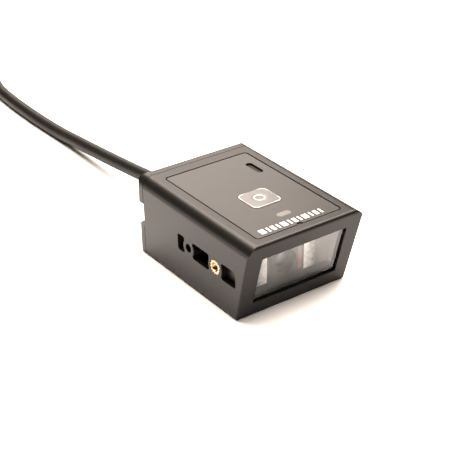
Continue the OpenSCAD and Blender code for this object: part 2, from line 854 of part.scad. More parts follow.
// The cap that closes the rear, with tongues that reach into the case.
module rear_cover() {
    color("#2b2825")
        difference() {
            union() {
                intersection() {
                    along_y(y_seam, y_back + over)
                        section();
                    rear_corner();
                    mirror([1, 0, 0])
                        rear_corner();
                    along_x(-hw - over, hw + over)
                        soft_polygon([[0, 0], [y_back, 0], [y_back, case_h], [0, case_h]],
                            [0, cover_edge_r, cover_edge_r, 0]);
                }
                box([-tongue_half, tongue_front, ceiling - tongue_gap - tongue_t],
                    [tongue_half, y_seam + bite, ceiling - tongue_gap]);
                both_sides()
                    box([inner_w - tongue_gap - tongue_t, tongue_front, notch_low],
                        [inner_w - tongue_gap, y_seam + bite, notch_high]);
            }
            both_sides()
                box([hw - notch_in, y_seam + bite, notch_low], [hw + over, y_back + over, notch_high]);
            both_sides()
                box([hw - side_wall, y_seam - over, notch_low], [hw + over, y_seam + 2 * bite, notch_high]);
            translate([0, 0, cable_z])
                bar_y(neck_r, y_seam - over, y_back + over);
            both_sides()
                translate([screw_x, 0, screw_z]) {
                    bar_y(screw_r, y_seam - over, y_back + over);
                    bar_y(screw_head_r, y_back - screw_head_r + screw_r, y_back + over);
                }
        }
}

// Two self-tapping screws, heads sunk in the cover.
module rear_cover_screws() {
    color("#8a8c8f")
        both_sides()
            translate([screw_x, 0, screw_z])
                difference() {
                    union() {
                        bar_y(screw_r, y_seam - screw_len + bite, y_back - screw_head_r + screw_r + bite);
                        bar_y(screw_head_r, y_back - screw_head_r + screw_r, y_back - bite);
                    }
                    box([-cross_arm, y_back - cross_deep, -cross_w / 2],
                        [cross_arm, y_back + over, cross_w / 2]);
                    box([-cross_w / 2, y_back - cross_deep, -cross_arm],
                        [cross_w / 2, y_back + over, cross_arm]);
                }
}

// Thin film with cut-outs for the key, the status lens and the sound slot.
module label_sheet() {
    color("#4a4541")
        translate([0, 0, label_floor])
            linear_extrude(label_t)
                difference() {
                    translate([0, label_mid])
                        soft_rect(label_w - 2 * label_gap, label_d - 2 * label_gap, label_r - label_gap);
                    translate([0, label_y0 + label_gap])
                        circle(pull_r);
                    translate([0, key_y])
                        soft_rect(key_w + 2 * key_clear, key_d + 2 * key_clear, key_r + key_clear);
                    translate([0, light_y])
                        stadium(light_w, light_d);
                    translate([slot_x, slot_y])
                        rotate(90)
                            stadium(slot_len, slot_w);
                }
}

// The key: a domed cap with a finger dish, a flange that keeps it in and a nub on the switch plunger.
module read_key() {
    color("#5a5550")
        translate([0, key_y, 0]) {
            difference() {
                intersection() {
                    translate([0, 0, flange_bottom])
                        linear_extrude(key_top - flange_bottom)
                            soft_rect(key_w, key_d, key_r);
                    translate([0, 0, key_top - key_dome_r])
                        sphere(key_dome_r);
                }
                translate([0, 0, key_top - key_dish + key_dish_r])
                    sphere(key_dish_r);
            }
            translate([0, 0, flange_bottom])
                linear_extrude(flange_t)
                    soft_rect(key_w + 2 * flange_lap, key_d + 2 * flange_lap, key_r);
            translate([0, 0, plunger_top])
                cylinder(r = plunger_r, h = flange_bottom - plunger_top + bite);
        }
}

// Clear light pipe from the status lamp up through the top wall.
module status_lens() {
    color("#c9c6c0")
        translate([0, light_y, 0]) {
            translate([0, 0, light_foot])
                linear_extrude(label_top - light_foot)
                    stadium(light_w, light_d);
            translate([0, 0, ceiling - light_flange_t])
                linear_extrude(light_flange_t)
                    stadium(light_w + 2 * light_flange, light_d + 2 * light_flange);
        }
}

// Woven membrane glued on the ledge in the sound slot.
module sound_membrane() {
    color("#6b6b6b")
        translate([slot_x, slot_y, membrane_z])
            linear_extrude(membrane_t)
                rotate(90)
                    stadium(slot_len - 2 * membrane_gap, slot_w - 2 * membrane_gap);
}

// Brass threaded insert, its outer end flush with the side.
module insert() {
    difference() {
        translate([0, insert_y, fixing_z])
            bar_x(insert_od / 2, fix_x - insert_len, fix_x);
        translate([0, insert_y, fixing_z])
            bar_x(thread_r, fix_x - insert_len - over, hw + over);
    }
}

module insert_left() {
    color("#c8a45a")
        mirror([1, 0, 0])
            insert();
}

module insert_right() {
    color("#c8a45a")
        insert();
}

// Clear pane, fitted from inside behind the opening.
module window_pane() {
    color("#b8c4c8", 0.4)
        on_face()
            translate([0, -window_mid, -pane_deep])
                linear_extrude(pane_t)
                    soft_rect(pane_w, pane_h, window_r);
}

// Foam frame on the back of the pane.
module window_gasket() {
    color("#1c1c1c")
        on_face()
            translate([0, -window_mid, -pane_deep - gasket_t])
                linear_extrude(gasket_t)
                    difference() {
                        soft_rect(pane_w, pane_h, window_r);
                        soft_rect(window_w + 2 * pane_gap, window_h + 2 * pane_gap, window_r);
                    }
}

// One moulding: base on the case's floor, sill under the panels and lens block.
module optics_chassis() {
    color("#3a3735")
        difference() {
            union() {
                box([-base_half, sill_y, floor_wall], [base_half, tongue_front - end_gap, base_top]);
                box([-panel_half, sill_y, floor_wall],
                    [panel_half, lamp_board_y + board_t + sill_behind, sill_z]);
                box([-block_half, sill_y, base_top - bite], [block_half, block_back, sill_z]);
                box([-block_half, panel_y, sill_z - bite], [block_half, block_back, block_top]);
            }
            translate([0, 0, lens_z]) {
                bar_y(hood_r, panel_y - over, barrel_y);
                bar_y(barrel_r + barrel_clear, panel_y - over, barrel_y + barrel_len);
            }
            box([-sensor_half, barrel_y + barrel_len - bite, lens_z - sensor_half],
                [sensor_half, block_back + over, lens_z + sensor_half]);
            box([aimer_x0, panel_y - over, aimer_z0], [aimer_x1, aimer_back + aimer_room, aimer_z1]);
            translate([block_groove_in - block_half, panel_y, sill_z + block_groove_up])
                box([0, -over, 0], [block_groove_w, block_groove_deep, block_top - sill_z]);
            for (x = [-1, 1])
                translate([x * sensor_screw_x, 0, sensor_screw_z])
                    bar_y(sensor_screw_r, screw_hole_y, block_back + over);
        }
}

// Frosted panel with a wing along the side wall.
module diffuser() {
    box([block_half, panel_y, sill_z], [panel_half, panel_y + panel_t, block_top]);
    along_x(panel_half - panel_t, panel_half)
        polygon([[panel_y + bite, sill_z], [panel_y + bite, block_top],
            [face_y(block_top, front_wall + gasket_t + wing_gap), block_top],
            [face_y(sill_z, front_wall + gasket_t + wing_gap), sill_z]]);
}

module diffuser_left() {
    color("#e9e4de")
        mirror([1, 0, 0])
            diffuser();
}

module diffuser_right() {
    color("#e9e4de")
        diffuser();
}

// Red strip lens of the aiming light, in its slot in the block.
module aimer_lens() {
    color("#a05a48")
        box([aimer_x0, panel_y, aimer_z0], [aimer_x1, aimer_back, aimer_z1]);
}

module aimer_lamp() {
    color("#d8d0c0")
        box([aimer_x0, aimer_back, lens_z - aimer_lamp_h / 2],
            [aimer_x1, aimer_back + aimer_lamp_t, lens_z + aimer_lamp_h / 2]);
}

// Tube that holds the front lens.
module lens_barrel() {
    color("#1a1a1a")
        translate([0, 0, lens_z])
            difference() {
                bar_y(barrel_r, barrel_y, barrel_y + barrel_len);
                bar_y(lens_r, barrel_y - over, barrel_y + lens_seat);
                bar_y(lens_r - lens_shoulder, barrel_y, barrel_y + barrel_len + over);
            }
}

// Plano-convex lens seated on the barrel's shoulder.
module front_lens() {
    color("#9fb3c8", 0.5)
        translate([0, 0, lens_z])
            intersection() {
                bar_y(lens_r, barrel_y, barrel_y + lens_seat);
                translate([0, barrel_y + lens_crown + lens_curve_r, 0])
                    sphere(lens_curve_r);
            }
}

// Two upright boards behind the panels.
module lamp_boards() {
    color("#2f6b3c")
        both_sides()
            box([block_half, lamp_board_y, sill_z], [lamp_board_half, lamp_board_y + board_t, block_top]);
}

module lamps() {
    color("#f2efe2")
        both_sides()
            translate([(block_half + panel_half) / 2, lamp_board_y - lamp_t / 2, (sill_z + block_top) / 2])
                cube([lamp_w, lamp_t, lamp_h], center = true);
}

// Board on the back of the lens block.
module sensor_board() {
    color("#2f6b3c")
        difference() {
            box([-block_half - sensor_board_over, block_back, base_top],
                [block_half + sensor_board_over, block_back + board_t, block_top]);
            for (x = [-1, 1])
                translate([x * sensor_screw_x, 0, sensor_screw_z])
                    bar_y(sensor_screw_r, block_back - over, block_back + board_t + over);
        }
}

module image_sensor() {
    color("#20242c")
        translate([0, block_back - sensor_t / 2, lens_z])
            cube([sensor_w, sensor_t, sensor_w], center = true);
}

module sensor_screws() {
    color("#8a8c8f")
        for (x = [-1, 1])
            translate([x * sensor_screw_x, 0, sensor_screw_z]) {
                bar_y(sensor_screw_r, block_back - sensor_screw_len, block_back + board_t + bite);
                bar_y(sensor_head_r, block_back + board_t, block_back + board_t + sensor_head_t);
            }
}

// Board that slides in on the case's rails.
module main_board() {
    color("#2f6b3c")
        box([-board_half, panel_y + board_front, board_bottom],
            [board_half, tongue_front - end_gap, board_top]);
}

module key_switch() {
    color("#303030")
        translate([0, key_y, board_top])
            difference() {
                translate([-switch_w / 2, -switch_w / 2, 0])
                    cube([switch_w, switch_w, switch_h]);
                translate([0, 0, switch_floor])
                    cylinder(r = plunger_r + plunger_clear, h = switch_h);
            }
}

module switch_plunger() {
    color("#c0b8a8")
        translate([0, key_y, plunger_top - plunger_len])
            cylinder(r = plunger_r, h = plunger_len);
}

module sounder() {
    color("#1e1e1e")
        translate([slot_x, slot_y, board_top])
            difference() {
                linear_extrude(sounder_h)
                    soft_rect(sounder_w, sounder_w, sounder_r);
                translate([0, 0, sounder_h - sounder_hole_deep])
                    cylinder(r = sounder_hole_r, h = over);
            }
}

module status_lamp() {
    color("#e6e2d6")
        translate([-status_lamp_w / 2, light_y - status_lamp_d / 2, board_top])
            cube([status_lamp_w, status_lamp_d, status_lamp_h]);
}

// Header under the main board that the leads go up into.
module lead_header() {
    color("#e8e2d2")
        box([-header_w / 2, header_y - header_d / 2, board_bottom - header_h],
            [header_w / 2, header_y + header_d / 2, board_bottom]);
}

// Four leads from the cable's end up to the header.
module cable_leads() {
    color("#7a2f2a")
        for (n = leads)
            translate([n * lead_pitch, 0, 0]) {
                translate([0, 0, cable_z])
                    bar_y(lead_r, header_y + lead_bend, y_seam - relief_flange_t);
                translate([0, header_y + lead_bend, cable_z + lead_bend])
                    rotate([90, 0, 90])
                        rotate([0, 0, 180])
                            rotate_extrude(angle = 90)
                                translate([lead_bend, 0])
                                    circle(lead_r);
                translate([0, header_y, cable_z + lead_bend])
                    cylinder(r = lead_r, h = board_bottom - header_h - cable_z - lead_bend);
            }
}

// Flexible sleeve moulded on the cable and held in the rear cover.
module cable_relief() {
    color("#1f1d1c")
        translate([0, y_back, cable_z])
            rotate([-90, 0, 0])
                rotate_extrude()
                    polygon([[0, -cover_d - relief_flange_t], [relief_flange_r, -cover_d - relief_flange_t],
                        [relief_flange_r, -cover_d], [neck_r, -cover_d], [neck_r, 0],
                        [relief_flange_r, 0], [relief_flange_r, relief_flange_t],
                        for (n = [0:rib_count - 1]) each rib(n),
                        [0, relief_len]]);
}

// A round tube swept through a route, its ends square to the end directions given.
module swept(route, first, last) {
    sides = 10;
    n = len(route);
    dirs = [for (i = [0:n - 1])
        i == 0 ? first : i == n - 1 ? last : unit(route[i + 1] - route[i - 1])];
    pts = [for (i = [0:n - 1])
        let (side = unit(cross(dirs[i], [0, 0, 1])), up = cross(side, dirs[i]))
        for (k = [0:sides - 1])
            route[i] + cable_r * (side * cos(360 * k / sides) + up * sin(360 * k / sides))];
    walls = [for (i = [0:n - 2], k = [0:sides - 1])
        let (a = i * sides + k, b = i * sides + (k + 1) % sides)
        each [[a, b, b + sides], [a, b + sides, a + sides]]];
    caps = [[for (k = [0:sides - 1]) sides - 1 - k], [for (k = [0:sides - 1]) (n - 1) * sides + k]];
    polyhedron(pts, concat(walls, caps), convexity = 6);
}

// The stretch of cable from the relief to the coil.
module cable() {
    color("#23211f")
        swept(cable_route, [0, 1, 0], [0, 1, 0]);
}

// The unseen length, wound as a ring, cut back where the cable comes in and goes out.
module cable_coil() {
    color("#23211f")
        difference() {
            translate([coil_x, coil_y, 0])
                rotate_extrude()
                    translate([(coil_in + coil_out) / 2, tie_t + coil_h / 2])
                        soft_rect(coil_out - coil_in, coil_h, cable_r);
            box([coil_x + coil_lane - cable_r - entry_room, coil_y - 2 * coil_out, -over],
                [coil_x + 2 * coil_out, coil_y - coil_cut, tie_t + cable_dia + bite]);
            box([coil_x - 2 * coil_out, coil_y - 2 * coil_out, coil_top - cable_dia - tail_room],
                [coil_x - coil_lane + cable_r + bite, coil_y - coil_cut, coil_top + over]);
        }
}

// The strap that holds the coil, wrapped round its turns on the far side.
module coil_tie() {
    color("#2a2a2c")
        translate([coil_x, coil_y, 0])
            rotate([0, 0, 90 - tie_turn / 2])
                rotate_extrude(angle = tie_turn)
                    translate([(coil_in + coil_out) / 2, tie_t + coil_h / 2])
                        difference() {
                            soft_rect(coil_out - coil_in + 2 * tie_t, coil_h + 2 * tie_t, cable_r + tie_t);
                            soft_rect(coil_out - coil_in, coil_h, cable_r);
                        }
}

// The stretch of cable from the coil to the plug.
module cable_tail() {
    color("#23211f")
        swept(tail_route, [0, -1, 0], [0, -1, 0]);
}

// Plug moulding with its relief.
module plug_body() {
    color("#23211f")
        translate([plug_x, 0, plug_z]) {
            translate([0, plug_y, 0])
                rotate([90, 0, 0])
                    cylinder(r1 = cable_r + plug_relief_tip,
                        r2 = cable_r + plug_relief_root,
                        h = plug_relief + bite);
            difference() {
                along_y(plug_y - plug_relief - plug_len, plug_y - plug_relief)
                    soft_rect(plug_w, plug_h, plug_r);
                for (n = [0:grip_count - 1], face = [-1, 1])
                    translate([0, plug_y - plug_relief - grip_start - n * grip_pitch, face * plug_h / 2])
                        cube([plug_w - 2 * grip_side, grip_w, 2 * grip_deep], center = true);
            }
        }
}

// Folded steel shell, open at its mouth.
module plug_shell() {
    color("#b9bcc0")
        translate([plug_x, plug_y - plug_relief - plug_len, plug_z])
            difference() {
                along_y(-shell_len, 0)
                    square([shell_w, shell_h], center = true);
                along_y(-shell_len - over, over)
                    square([shell_w - 2 * shell_wall, shell_h - 2 * shell_wall], center = true);
                for (x = [-1, 1])
                    translate([x * latch_x, latch_set - shell_len, shell_h / 2])
                        cube([latch_w, latch_w, shell_h], center = true);
            }
}

// Plastic tongue inside the shell.
module plug_tongue() {
    color("#e8e4dc")
        translate([plug_x, plug_y - plug_relief - plug_len, plug_z])
            box([-shell_w / 2 + shell_wall, -shell_len + plug_tongue_set, -shell_h / 2 + shell_wall],
                [shell_w / 2 - shell_wall, 0, -shell_h / 2 + shell_wall + plug_tongue_t]);
}

case();
rear_cover();
rear_cover_screws();
label_sheet();
read_key();
status_lens();
sound_membrane();
insert_left();
insert_right();
window_pane();
window_gasket();
optics_chassis();
diffuser_left();
diffuser_right();
aimer_lens();
aimer_lamp();
lens_barrel();
front_lens();
lamp_boards();
lamps();
sensor_board();
image_sensor();
sensor_screws();
main_board();
key_switch();
switch_plunger();
sounder();
status_lamp();
lead_header();
cable_leads();
cable_relief();
cable();
cable_coil();
cable_tail();
coil_tie();
plug_body();
plug_shell();
plug_tongue();
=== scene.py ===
from math import cos, radians, sin, tau

import bmesh
import bpy
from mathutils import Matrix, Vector


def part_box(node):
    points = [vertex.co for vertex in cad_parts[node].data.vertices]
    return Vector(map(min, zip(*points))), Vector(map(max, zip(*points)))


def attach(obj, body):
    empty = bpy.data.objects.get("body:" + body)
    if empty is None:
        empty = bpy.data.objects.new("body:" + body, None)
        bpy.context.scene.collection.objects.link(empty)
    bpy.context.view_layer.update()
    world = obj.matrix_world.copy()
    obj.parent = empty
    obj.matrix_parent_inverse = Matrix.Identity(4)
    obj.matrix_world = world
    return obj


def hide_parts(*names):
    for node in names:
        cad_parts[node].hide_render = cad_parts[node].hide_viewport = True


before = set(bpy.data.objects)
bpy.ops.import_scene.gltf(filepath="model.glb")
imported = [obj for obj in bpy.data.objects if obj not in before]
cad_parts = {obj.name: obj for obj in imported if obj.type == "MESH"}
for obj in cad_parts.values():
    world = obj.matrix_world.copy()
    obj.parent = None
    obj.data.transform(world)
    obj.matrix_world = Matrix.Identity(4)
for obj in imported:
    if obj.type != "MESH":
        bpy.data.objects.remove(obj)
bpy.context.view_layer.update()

# Optics chassis and lens barrel: two matte black mouldings behind the window. The chassis
# stands on the case's floor and carries every optical part, and the barrel is pressed
# into its block.
MM = 0.001
INNER_BLACK = (0.014, 0.013, 0.0122)
MOTTLE_SIZE = 6 * MM
NOISE_LOW = 0.25
NOISE_HIGH = 0.75
ROUGHNESS_SWING = 0.1


def blank_material(name):
    material = bpy.data.materials.new(name)
    material.use_nodes = True
    tree = material.node_tree
    return material, tree, tree.nodes["Principled BSDF"]


def grain_of(tree, grain_size, stretch=(1.0, 1.0, 1.0), detail=3.0):
    place = tree.nodes.new("ShaderNodeTexCoord")
    scale = tree.nodes.new("ShaderNodeMapping")
    scale.inputs["Scale"].default_value = stretch
    noise = tree.nodes.new("ShaderNodeTexNoise")
    noise.inputs["Scale"].default_value = 1.0 / grain_size
    noise.inputs["Detail"].default_value = detail
    tree.links.new(place.outputs["Object"], scale.inputs["Vector"])
    tree.links.new(scale.outputs["Vector"], noise.inputs["Vector"])
    return noise.outputs["Fac"]


def colour_between(tree, amount, low, high, start=0.3, end=0.7):
    ramp = tree.nodes.new("ShaderNodeValToRGB")
    ramp.color_ramp.elements[0].position = start
    ramp.color_ramp.elements[0].color = (*low, 1.0)
    ramp.color_ramp.elements[1].position = end
    ramp.color_ramp.elements[1].color = (*high, 1.0)
    tree.links.new(amount, ramp.inputs["Fac"])
    return ramp.outputs["Color"]


def value_between(tree, amount, low, high):
    spread = tree.nodes.new("ShaderNodeMapRange")
    spread.inputs["From Min"].default_value = NOISE_LOW
    spread.inputs["From Max"].default_value = NOISE_HIGH
    spread.inputs["To Min"].default_value = low
    spread.inputs["To Max"].default_value = high
    tree.links.new(amount, spread.inputs["Value"])
    return spread.outputs["Result"]


def raise_surface(tree, shader, amount, height):
    bump = tree.nodes.new("ShaderNodeBump")
    bump.inputs["Distance"].default_value = height
    bump.inputs["Strength"].default_value = 1.0
    tree.links.new(amount, bump.inputs["Height"])
    tree.links.new(bump.outputs["Normal"], shader.inputs["Normal"])


def moulded_plastic(name, colour, roughness, grain_size, grain_height, variation=0.12, shine=0.5):
    material, tree, shader = blank_material(name)
    mottle = grain_of(tree, MOTTLE_SIZE)
    grain = grain_of(tree, grain_size)
    low = [c * (1 - variation) for c in colour]
    high = [c * (1 + variation) for c in colour]
    smoothest = roughness * (1 - ROUGHNESS_SWING)
    roughest = roughness * (1 + ROUGHNESS_SWING)
    tree.links.new(colour_between(tree, mottle, low, high), shader.inputs["Base Color"])
    tree.links.new(value_between(tree, grain, smoothest, roughest), shader.inputs["Roughness"])
    shader.inputs["Specular IOR Level"].default_value = shine
    raise_surface(tree, shader, grain, grain_height)
    return material


def dress(material, *nodes):
    for node in nodes:
        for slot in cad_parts[node].material_slots:
            slot.material = material


inner_moulding = moulded_plastic("inner_black_moulding", INNER_BLACK, roughness=0.55,
                                 grain_size=0.12 * MM, grain_height=0.006 * MM)
dress(inner_moulding, "optics_chassis", "lens_barrel")


# Front lens: a small ground glass lens with a faint coating, seated on the barrel's
# shoulder.
GLASS_TINT = (0.86, 0.90, 0.94)
GLASS_BENDING = 1.48
HAZE_SIZE = 4 * MM
HAZE_SHADE = 0.96
HAZE_SMOOTHER = 0.5


def clear_glass(name, tint, roughness, bending):
    material, tree, shader = blank_material(name)
    haze = grain_of(tree, HAZE_SIZE)
    low = [c * HAZE_SHADE for c in tint]
    smoothest = roughness * HAZE_SMOOTHER
    tree.links.new(colour_between(tree, haze, low, tint), shader.inputs["Base Color"])
    tree.links.new(value_between(tree, haze, smoothest, roughness), shader.inputs["Roughness"])
    shader.inputs["IOR"].default_value = bending
    shader.inputs["Transmission Weight"].default_value = 1.0
    lamp_ray = tree.nodes.new("ShaderNodeLightPath")
    through = tree.nodes.new("ShaderNodeBsdfTransparent")
    either = tree.nodes.new("ShaderNodeMixShader")
    tree.links.new(lamp_ray.outputs["Is Shadow Ray"], either.inputs["Fac"])
    tree.links.new(shader.outputs["BSDF"], either.inputs[1])
    tree.links.new(through.outputs["BSDF"], either.inputs[2])
    tree.links.new(either.outputs["Shader"], tree.nodes["Material Output"].inputs["Surface"])
    return material


dress(clear_glass("lens_glass", GLASS_TINT, roughness=0.02, bending=GLASS_BENDING), "front_lens")


# Image sensor, sensor board and its two screws: a black moulded chip on a green lacquered
# board. Steel screws hold the board to the back of the chassis block, with the chip in
# the block's bay.
CHIP_BLACK = (0.016, 0.017, 0.020)
BOARD_GREEN = (0.012, 0.075, 0.028)
BOARD_PALE = (0.030, 0.130, 0.055)
LACQUER_ROUGHNESS = (0.32, 0.42)
TRACK_SIZE = 1.6 * MM
TRACK_STRETCH = (1.0, 0.25, 1.0)
TRACK_EDGE = (0.49, 0.51)
TRACK_HEIGHT = 0.03 * MM
SCREW_STEEL = (0.16, 0.16, 0.17)
TURNING_SIZE = 0.25 * MM
TURNING_SHADE = 0.82
TURNING_SWING = 0.2
TURNING_HEIGHT = 0.004 * MM


def lacquered_board(name):
    material, tree, shader = blank_material(name)
    tracks = grain_of(tree, TRACK_SIZE, stretch=TRACK_STRETCH, detail=0.0)
    green = colour_between(tree, tracks, BOARD_GREEN, BOARD_PALE, *TRACK_EDGE)
    tree.links.new(green, shader.inputs["Base Color"])
    tree.links.new(value_between(tree, tracks, *LACQUER_ROUGHNESS), shader.inputs["Roughness"])
    raise_surface(tree, shader, tracks, TRACK_HEIGHT)
    return material


def turned_steel(name, colour, roughness, stretch):
    material, tree, shader = blank_material(name)
    lines = grain_of(tree, TURNING_SIZE, stretch=stretch)
    low = [c * TURNING_SHADE for c in colour]
    smoothest = roughness * (1 - TURNING_SWING)
    roughest = roughness * (1 + TURNING_SWING)
    tree.links.new(colour_between(tree, lines, low, colour), shader.inputs["Base Color"])
    tree.links.new(value_between(tree, lines, smoothest, roughest), shader.inputs["Roughness"])
    shader.inputs["Metallic"].default_value = 1.0
    raise_surface(tree, shader, lines, TURNING_HEIGHT)
    return material


board_lacquer = lacquered_board("board_lacquer")
chip_moulding = moulded_plastic("chip_moulding", CHIP_BLACK, roughness=0.45,
                                grain_size=0.1 * MM, grain_height=0.004 * MM)
screw_steel = turned_steel("screw_steel", SCREW_STEEL, roughness=0.30, stretch=(1.0, 0.2, 1.0))
dress(chip_moulding, "image_sensor")
dress(board_lacquer, "sensor_board")
dress(screw_steel, "sensor_screws")


# Aiming light: a pale moulded lamp behind a strip lens of tinted plastic, set in a slot
# beside the lens hood.
AIMER_RED = (0.20, 0.085, 0.060)
LAMP_PALE = (0.72, 0.68, 0.58)
lamp_moulding = moulded_plastic("lamp_moulding", LAMP_PALE, roughness=0.4, grain_size=0.15 * MM,
                                grain_height=0.004 * MM, variation=0.06)
aimer_strip = moulded_plastic("aimer_strip", AIMER_RED, roughness=0.25, grain_size=0.3 * MM,
                              grain_height=0.01 * MM, variation=0.2)
dress(aimer_strip, "aimer_lens")
dress(lamp_moulding, "aimer_lamp")


# Lighting: two frosted plastic panels beside the block, each with a wing along the side
# wall, and behind each a small lacquered board with its lamp. The panels' colour goes from
# white near the block to nearly black towards the side walls, which is painted shade.
FROST_WHITE = (0.97, 0.94, 0.92)
FROST_PAINTED_SHADE = (0.085, 0.080, 0.075)
FROST_ROUGHNESS = (0.35, 0.5)
PAINTED_SHADE_SPAN = (0.35, 1.0)
PAINTED_SHADE_FROM = 6.4 * MM
PAINTED_SHADE_FULL = 12.6 * MM
PANEL_MOTTLE = 0.6
PEBBLE_SIZE = 0.9 * MM
PEBBLE_HEIGHT = 0.06 * MM


def frosted_panel(name):
    material, tree, shader = blank_material(name)
    pebble = grain_of(tree, PEBBLE_SIZE, detail=2.0)
    place = tree.nodes.new("ShaderNodeTexCoord")
    axes = tree.nodes.new("ShaderNodeSeparateXYZ")
    out = tree.nodes.new("ShaderNodeMath")
    out.operation = "ABSOLUTE"
    # painted shade: the panel's colour darkens the further out it lies from the middle
    painted_shade_fade = tree.nodes.new("ShaderNodeMapRange")
    painted_shade_fade.inputs["From Min"].default_value = PAINTED_SHADE_FROM
    painted_shade_fade.inputs["From Max"].default_value = PAINTED_SHADE_FULL
    pebble_and_painted_shade = tree.nodes.new("ShaderNodeMath")
    pebble_and_painted_shade.operation = "MULTIPLY_ADD"
    pebble_and_painted_shade.inputs[1].default_value = PANEL_MOTTLE
    tree.links.new(place.outputs["Object"], axes.inputs["Vector"])
    tree.links.new(axes.outputs["X"], out.inputs[0])
    tree.links.new(out.outputs["Value"], painted_shade_fade.inputs["Value"])
    tree.links.new(pebble, pebble_and_painted_shade.inputs[0])
    tree.links.new(painted_shade_fade.outputs["Result"], pebble_and_painted_shade.inputs[2])
    # white frost mixed with pebble and painted shade
    frost = colour_between(tree, pebble_and_painted_shade.outputs["Value"], FROST_WHITE, FROST_PAINTED_SHADE, *PAINTED_SHADE_SPAN)
    tree.links.new(frost, shader.inputs["Base Color"])
    tree.links.new(value_between(tree, pebble, *FROST_ROUGHNESS), shader.inputs["Roughness"])
    raise_surface(tree, shader, pebble, PEBBLE_HEIGHT)
    return material


dress(frosted_panel("frosted_panel"), "diffuser_left", "diffuser_right")
dress(board_lacquer, "lamp_boards")
dress(lamp_moulding, "lamps")


# Main board with its parts: a lacquered board that slides in on the case's rails. The key
# switch, the sounder, the status lamp and the header for the cable's leads are mouldings
# soldered to it.
PLUNGER_CREAM = (0.60, 0.55, 0.46)
plunger_moulding = moulded_plastic("plunger_cream", PLUNGER_CREAM, roughness=0.4,
                                   grain_size=0.1 * MM, grain_height=0.003 * MM)
dress(board_lacquer, "main_board")
dress(chip_moulding, "key_switch", "sounder")
dress(lamp_moulding, "status_lamp", "lead_header")
dress(plunger_moulding, "switch_plunger")


# Case and rear cover: satin black mouldings. The case is one piece, open at the rear,
# with a duller grain round its window, and the cover closes it with two self-tapping
# screws.
CASE_BLACK = (0.0052, 0.0047, 0.0043)
CASE_SHINE = 0.22
FRONT_ROUGHER = 1.6
FRONT_FACING = (0.0, -0.9686, -0.2487)
FRONT_FROM = 0.95
FRONT_FULL = 0.99


def dull_front(material):
    tree = material.node_tree
    surface = tree.nodes.new("ShaderNodeNewGeometry")
    facing = tree.nodes.new("ShaderNodeVectorMath")
    facing.operation = "DOT_PRODUCT"
    facing.inputs[1].default_value = FRONT_FACING
    rougher = tree.nodes.new("ShaderNodeMapRange")
    rougher.inputs["From Min"].default_value = FRONT_FROM
    rougher.inputs["From Max"].default_value = FRONT_FULL
    rougher.inputs["To Min"].default_value = 1.0
    rougher.inputs["To Max"].default_value = FRONT_ROUGHER
    both = tree.nodes.new("ShaderNodeMath")
    both.operation = "MULTIPLY"
    roughness = tree.nodes["Principled BSDF"].inputs["Roughness"]
    tree.links.new(surface.outputs["True Normal"], facing.inputs[0])
    tree.links.new(facing.outputs["Value"], rougher.inputs["Value"])
    tree.links.new(roughness.links[0].from_socket, both.inputs[0])
    tree.links.new(rougher.outputs["Result"], both.inputs[1])
    tree.links.new(both.outputs["Value"], roughness)


case_satin = moulded_plastic("case_satin", CASE_BLACK, roughness=0.34, grain_size=0.09 * MM,
                             grain_height=0.0025 * MM, shine=CASE_SHINE)
dull_front(case_satin)
dress(case_satin, "case", "rear_cover")
dress(screw_steel, "rear_cover_screws")


# Window: a clear pane fitted from inside on a black foam frame. A coating on the pane
# keeps its reflections low.
PANE_TINT = (0.93, 0.94, 0.94)
PANE_BENDING = 1.39
FOAM_BLACK = (0.012, 0.012, 0.012)
window_clear = clear_glass("window_clear", PANE_TINT, roughness=0.012, bending=PANE_BENDING)
gasket_foam = moulded_plastic("gasket_foam", FOAM_BLACK, roughness=0.85, grain_size=0.2 * MM,
                              grain_height=0.03 * MM, variation=0.3)
dress(window_clear, "window_pane")
dress(gasket_foam, "window_gasket")


# Threaded inserts: knurled brass bushes pressed into the sides, their outer ends flush
# with the case. The thread is cut right through.
BRASS = (0.50, 0.43, 0.31)
BRASS_DARK = (0.30, 0.22, 0.12)
BORE_BRASS = (0.56, 0.43, 0.26)
BORE_DARK = (0.36, 0.25, 0.12)
BRASS_ROUGHNESS = (0.18, 0.32)
CUT_LINE_SIZE = 0.3 * MM
CUT_LINE_HEIGHT = 0.006 * MM
INSERT_TEETH = 14
TOOTH_STEPS = 6
TOOTH_DEPTH = 0.42 * MM
TOOTH_SLOPE = 1.6
TOOTH_CREST = 0.3
TOOTH_CHAMFER = 0.1 * MM
THREAD_MINOR = 1.25 * MM
THREAD_MAJOR = 1.5 * MM
THREAD_PITCH = 0.5 * MM
THREAD_STEPS = 6
THREAD_RUNOUT = 0.2 * MM
BORE_CHAMFER = 0.08 * MM


def cut_brass(name, low, high):
    material, tree, shader = blank_material(name)
    lines = grain_of(tree, CUT_LINE_SIZE)
    tree.links.new(colour_between(tree, lines, low, high), shader.inputs["Base Color"])
    tree.links.new(value_between(tree, lines, *BRASS_ROUGHNESS), shader.inputs["Roughness"])
    shader.inputs["Metallic"].default_value = 1.0
    raise_surface(tree, shader, lines, CUT_LINE_HEIGHT)
    return material


def join_rings(mesh, rings):
    for ring, after in zip(rings, rings[1:]):
        count = len(ring)
        for k in range(count):
            mesh.faces.new((ring[k], ring[(k + 1) % count], after[(k + 1) % count], after[k]))


def mesh_object(name, mesh, material, smooth=True):
    bmesh.ops.recalc_face_normals(mesh, faces=mesh.faces)
    data = bpy.data.meshes.new(name)
    mesh.to_mesh(data)
    mesh.free()
    data.materials.append(material)
    for face in data.polygons:
        face.use_smooth = smooth
    piece = bpy.data.objects.new(name, data)
    bpy.context.scene.collection.objects.link(piece)
    return piece


